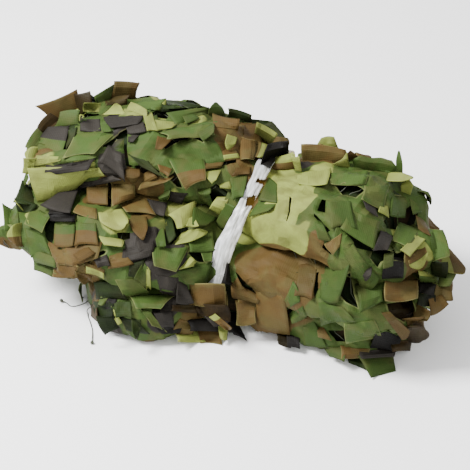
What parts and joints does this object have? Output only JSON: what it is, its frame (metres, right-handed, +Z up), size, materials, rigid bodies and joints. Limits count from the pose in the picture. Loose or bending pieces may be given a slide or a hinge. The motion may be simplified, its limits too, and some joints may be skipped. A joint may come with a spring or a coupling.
{
  "type": "folded camouflage net",
  "caption": "Leaf-cut camouflage net folded into a bundle of stacked folds and tied round its waist with a clear film strip, its backing cord ends loose.",
  "frame": {"origin": "on the surface it rests on, under the middle of the bundle's box", "axes": "+X along the bundle, the shorter lobe's way; -Y its front; +Z up"},
  "size_m": [0.6248, 0.352, 0.2275],
  "materials": {
    "leaf_cloth": "matt printed woven polyester in woodland green, light green, brown and charcoal, leaf-cut",
    "strap_film": "glossy milky film, partly see-through",
    "backing_cord": "dull dark green braided cord"
  },
  "bodies": {
    "root": {"net_bundle": "leaf_cloth", "tie_strap": "strap_film", "cord_end_left": "backing_cord", "cord_knot_left": "backing_cord", "cord_end_front": "backing_cord", "cord_knot_front": "backing_cord"}
  },
  "joints": []
}
